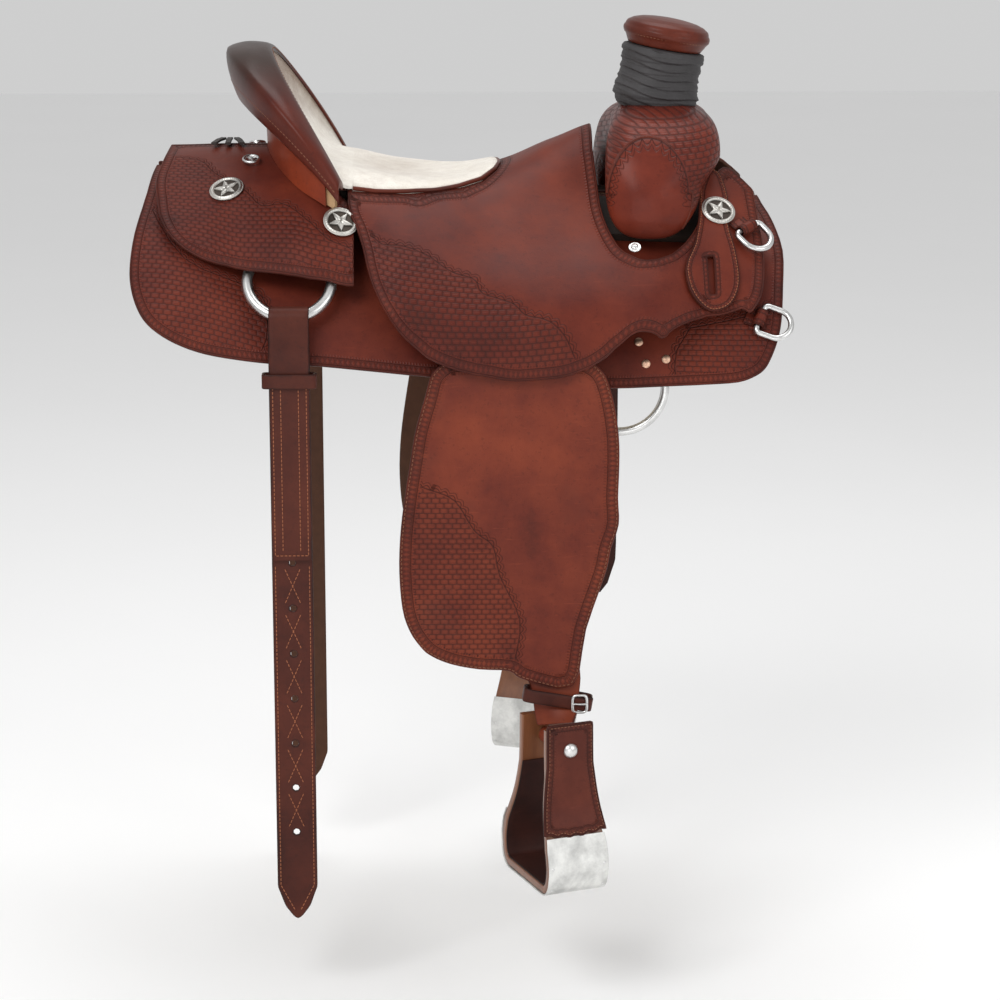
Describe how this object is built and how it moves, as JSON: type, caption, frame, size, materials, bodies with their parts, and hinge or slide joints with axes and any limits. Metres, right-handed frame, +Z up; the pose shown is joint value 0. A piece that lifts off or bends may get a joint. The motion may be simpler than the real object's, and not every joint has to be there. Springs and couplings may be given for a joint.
{
  "type": "western roping saddle",
  "caption": "Western roping saddle: tooled leather skirts, jockeys and fenders on a tree, suede seat, rubber-wrapped horn, rigging rings, flank billets and hung stirrups.",
  "frame": {"origin": "on the centre plane, on the ridge of the underside's seating line, under the middle of the seat", "axes": "+X forward to the horn, +Y to the horse's left, +Z up"},
  "size_m": [0.684, 0.62, 0.9298],
  "materials": {
    "leather_dark": "tooled vegetable-tanned leather, oiled",
    "leather_red": "burnished leather",
    "leather_strap": "harness leather, edges waxed",
    "suede": "worn suede",
    "fleece": "wool fleece",
    "wood_tree": "rawhide-covered wood",
    "wood_stirrup": "laminated, varnished",
    "rubber": "wrapped sheet rubber",
    "steel": "polished, lightly scratched",
    "galvanised": "bright sheet metal binding",
    "brass": "copper rivets"
  },
  "bodies": {
    "saddle": {"seat_leather": "leather_dark", "fork_cover": "leather_dark", "cantle_back": "leather_red", "cantle_roll": "leather_dark", "seat_inlay": "suede", "ground_seat": "steel", "tree_cantle": "wood_tree", "tree_fork": "wood_tree", "horn_core": "steel", "horn_wrap": "rubber", "horn_cap": "leather_dark", "conchos": "steel", "jockey_screws": "steel", "skirt_rivets": "brass", "dee_tabs": "leather_dark", "rear_rig_tabs": "leather_strap", "front_rig_plates": "leather_strap", "jockey_lacing": "leather_strap", "tie_loops": "steel", "tree_bar_right": "wood_tree", "skirt_right": "leather_dark", "fleece_right": "fleece", "rear_jockey_right": "leather_dark", "latigo_keeper_right": "leather_dark", "tree_bar_left": "wood_tree", "skirt_left": "leather_dark", "fleece_left": "fleece", "rear_jockey_left": "leather_dark", "latigo_keeper_left": "leather_dark"},
    "leg_right": {"fender_right": "leather_red", "stirrup_leather_right": "leather_strap", "hobble_strap_right": "leather_strap", "hobble_buckle_right": "steel"},
    "foot_right": {"stirrup_right": "wood_stirrup", "stirrup_binding_right": "galvanised", "stirrup_cover_right": "leather_dark", "stirrup_bolt_right": "steel", "stirrup_tread_right": "leather_dark"},
    "ring_right": {"rear_ring_right": "steel"},
    "flank_right": {"rear_billet_right": "leather_strap", "billet_keeper_right": "leather_strap"},
    "rig_right": {"front_ring_right": "steel"},
    "breast_right": {"breast_ring_right": "steel"},
    "dee_right": {"front_dee_right": "steel"},
    "leg_left": {"fender_left": "leather_red", "stirrup_leather_left": "leather_strap", "hobble_strap_left": "leather_strap", "hobble_buckle_left": "steel"},
    "foot_left": {"stirrup_left": "wood_stirrup", "stirrup_binding_left": "galvanised", "stirrup_cover_left": "leather_dark", "stirrup_bolt_left": "steel", "stirrup_tread_left": "leather_dark"},
    "ring_left": {"rear_ring_left": "steel"},
    "flank_left": {"rear_billet_left": "leather_strap", "billet_keeper_left": "leather_strap"},
    "rig_left": {"front_ring_left": "steel", "latigo_left": "leather_strap"},
    "breast_left": {"breast_ring_left": "steel"},
    "dee_left": {"front_dee_left": "steel"}
  },
  "joints": [
    {"name": "leg_swing_right", "type": "hinge", "parent": "saddle", "child": "leg_right", "pos_m": [0.084, -0.119, 0.016], "axis": [0, -1, 0], "range_deg": [-8, 12]},
    {"name": "stirrup_pivot_right", "type": "hinge", "parent": "leg_right", "child": "foot_right", "pos_m": [0.093, -0.238, -0.49], "axis": [-0.3584, 0.9336, 0], "range_deg": [-20, 20]},
    {"name": "rear_ring_lift_right", "type": "hinge", "parent": "saddle", "child": "ring_right", "pos_m": [-0.178, -0.158, 0.0187], "axis": [-1, 0, 0], "range_deg": [0, 8]},
    {"name": "flank_billet_lift_right", "type": "hinge", "parent": "ring_right", "child": "flank_right", "pos_m": [-0.178, -0.21442, -0.04621], "axis": [-1, 0, 0], "range_deg": [0, 35]},
    {"name": "front_ring_turn_right", "type": "hinge", "parent": "saddle", "child": "rig_right", "pos_m": [0.163, -0.166, -0.13], "axis": [0, -1, 0], "range_deg": [-15, 15]},
    {"name": "breast_ring_lift_right", "type": "hinge", "parent": "saddle", "child": "breast_right", "pos_m": [0.29837, -0.11369, 0.02869], "axis": [-0.7396, -0.6083, -0.288], "range_deg": [0, 40]},
    {"name": "front_dee_lift_right", "type": "hinge", "parent": "saddle", "child": "dee_right", "pos_m": [0.308, -0.16629, -0.058], "axis": [-0.3746, -0.5182, -0.7689], "range_deg": [0, 40]},
    {"name": "leg_swing_left", "type": "hinge", "parent": "saddle", "child": "leg_left", "pos_m": [0.084, 0.119, 0.016], "axis": [0, -1, 0], "range_deg": [-8, 12]},
    {"name": "stirrup_pivot_left", "type": "hinge", "parent": "leg_left", "child": "foot_left", "pos_m": [0.093, 0.238, -0.49], "axis": [0.3584, 0.9336, 0], "range_deg": [-20, 20]},
    {"name": "rear_ring_lift_left", "type": "hinge", "parent": "saddle", "child": "ring_left", "pos_m": [-0.178, 0.158, 0.0187], "axis": [1, 0, 0], "range_deg": [0, 8]},
    {"name": "flank_billet_lift_left", "type": "hinge", "parent": "ring_left", "child": "flank_left", "pos_m": [-0.178, 0.21442, -0.04621], "axis": [1, 0, 0], "range_deg": [0, 35]},
    {"name": "front_ring_turn_left", "type": "hinge", "parent": "saddle", "child": "rig_left", "pos_m": [0.163, 0.166, -0.13], "axis": [0, -1, 0], "range_deg": [-15, 15]},
    {"name": "breast_ring_lift_left", "type": "hinge", "parent": "saddle", "child": "breast_left", "pos_m": [0.29837, 0.11369, 0.02869], "axis": [0.7396, -0.6083, 0.288], "range_deg": [0, 40]},
    {"name": "front_dee_lift_left", "type": "hinge", "parent": "saddle", "child": "dee_left", "pos_m": [0.308, 0.16629, -0.058], "axis": [0.3746, -0.5182, 0.7689], "range_deg": [0, 40]}
  ]
}
